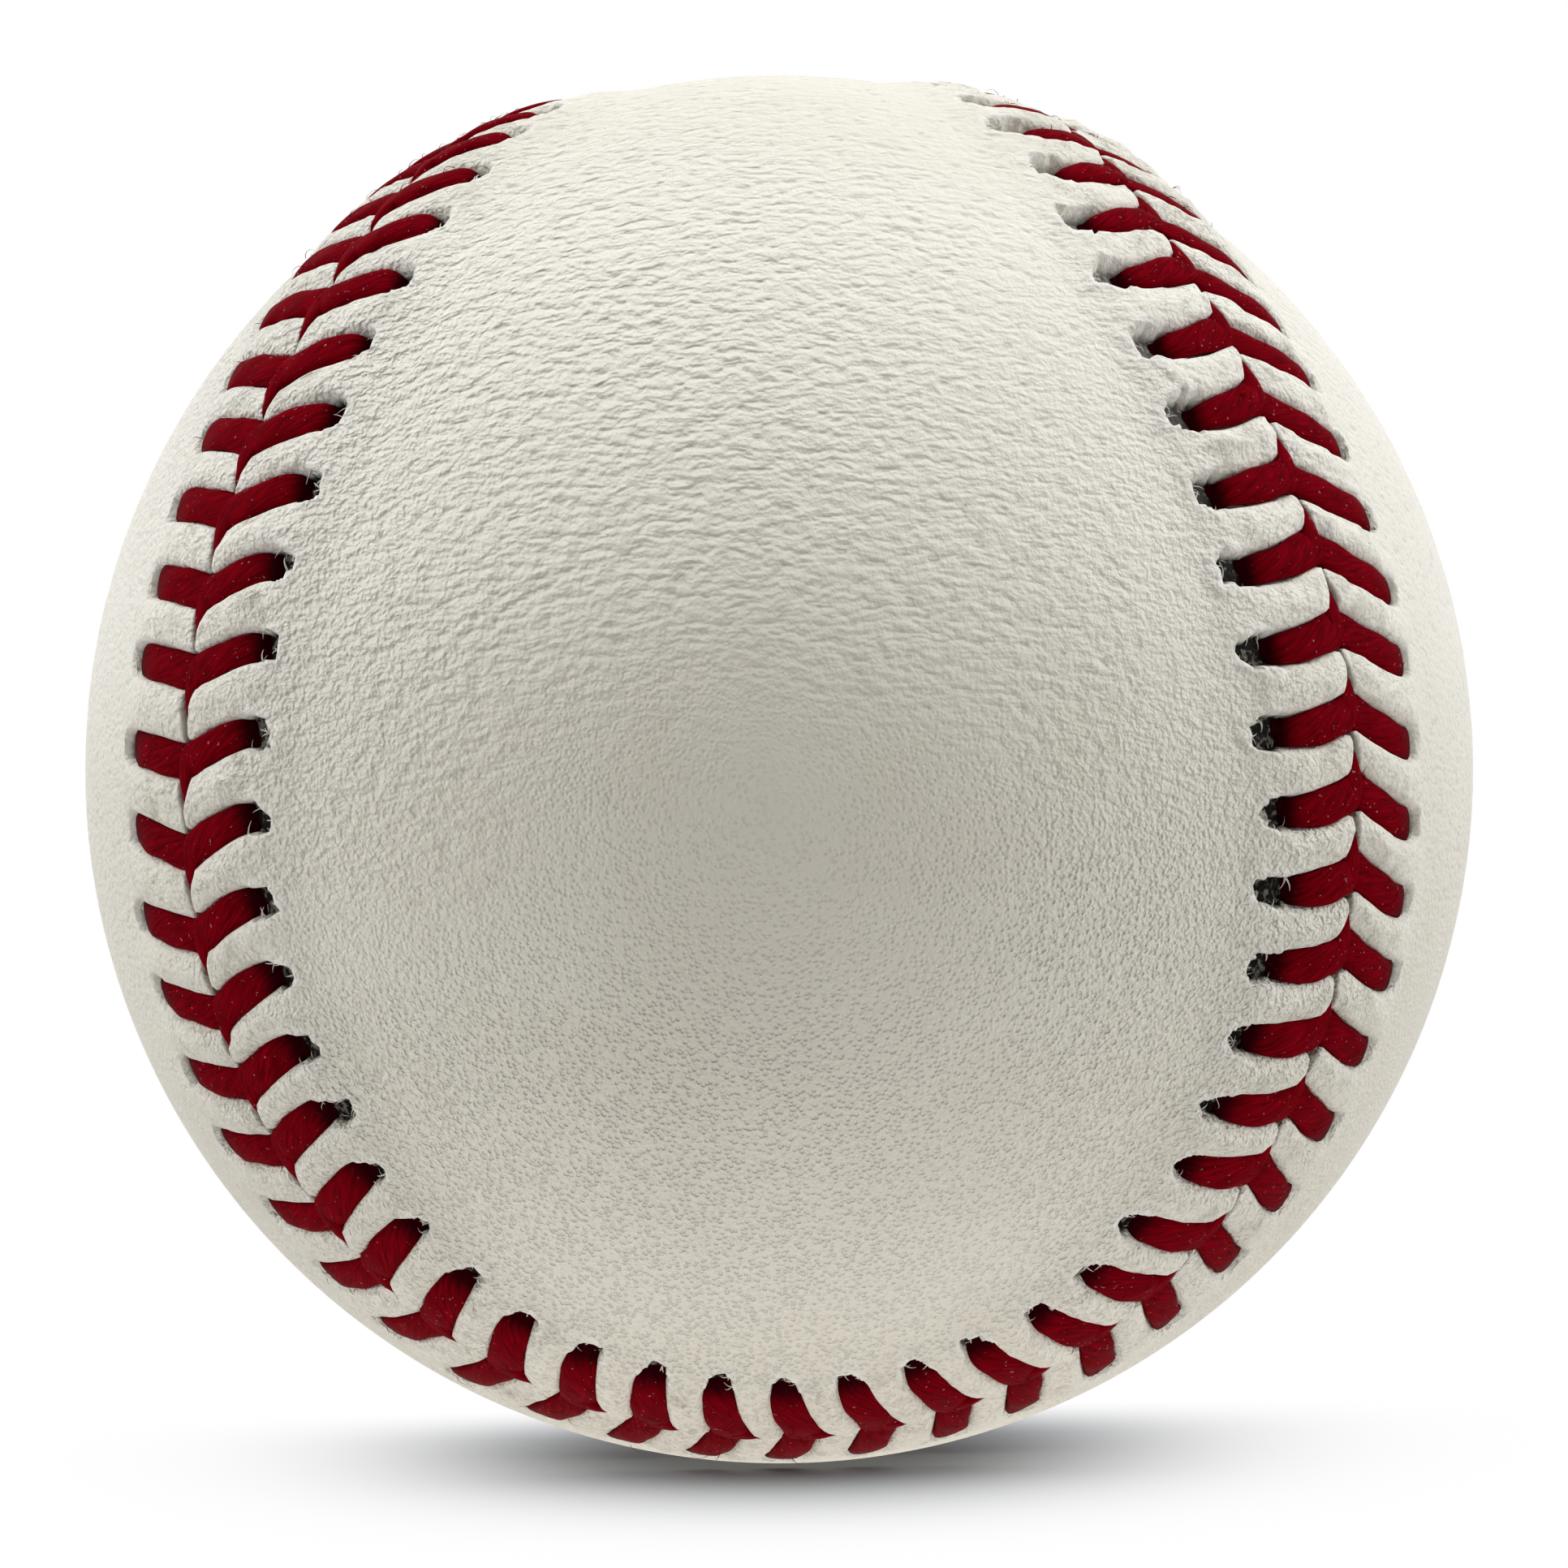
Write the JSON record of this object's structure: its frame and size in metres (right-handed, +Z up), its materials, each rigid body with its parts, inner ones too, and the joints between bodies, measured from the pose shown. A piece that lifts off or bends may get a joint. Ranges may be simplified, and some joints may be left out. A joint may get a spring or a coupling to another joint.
{
  "type": "baseball",
  "caption": "White leather baseball: two figure-eight panels laced edge to edge with red thread over wool windings and a cushioned cork centre.",
  "frame": {"origin": "centre of the ball", "axes": "+Z up, out of the middle of the front panel's neck; -Y out of the front panel's front lobe; +X out of the side panel's right lobe"},
  "size_m": [0.0738, 0.0738, 0.0751],
  "materials": {
    "leather": "off-white alum-tanned leather with a fine crumpled grain, matt with a faint sheen",
    "red_thread": "waxed crimson cotton, two plies in a soft twist, lightly glossy",
    "cork": "ground cork bound with rubber",
    "black_rubber": "moulded, matt",
    "red_rubber": "moulded, matt",
    "grey_wool": "wound woollen yarn",
    "white_wool": "wound woollen yarn",
    "cotton": "wound cotton yarn under a thin coat of rubber cement"
  },
  "bodies": {
    "root": {"cork_core": "cork", "lower_rubber_shell": "black_rubber", "upper_rubber_shell": "black_rubber", "rubber_gasket": "red_rubber", "red_rubber_layer": "red_rubber", "inner_grey_winding": "grey_wool", "white_wool_winding": "white_wool", "outer_grey_winding": "grey_wool", "cotton_winding": "cotton", "front_cover": "leather", "side_cover": "leather", "first_thread": "red_thread", "second_thread": "red_thread"}
  },
  "joints": []
}
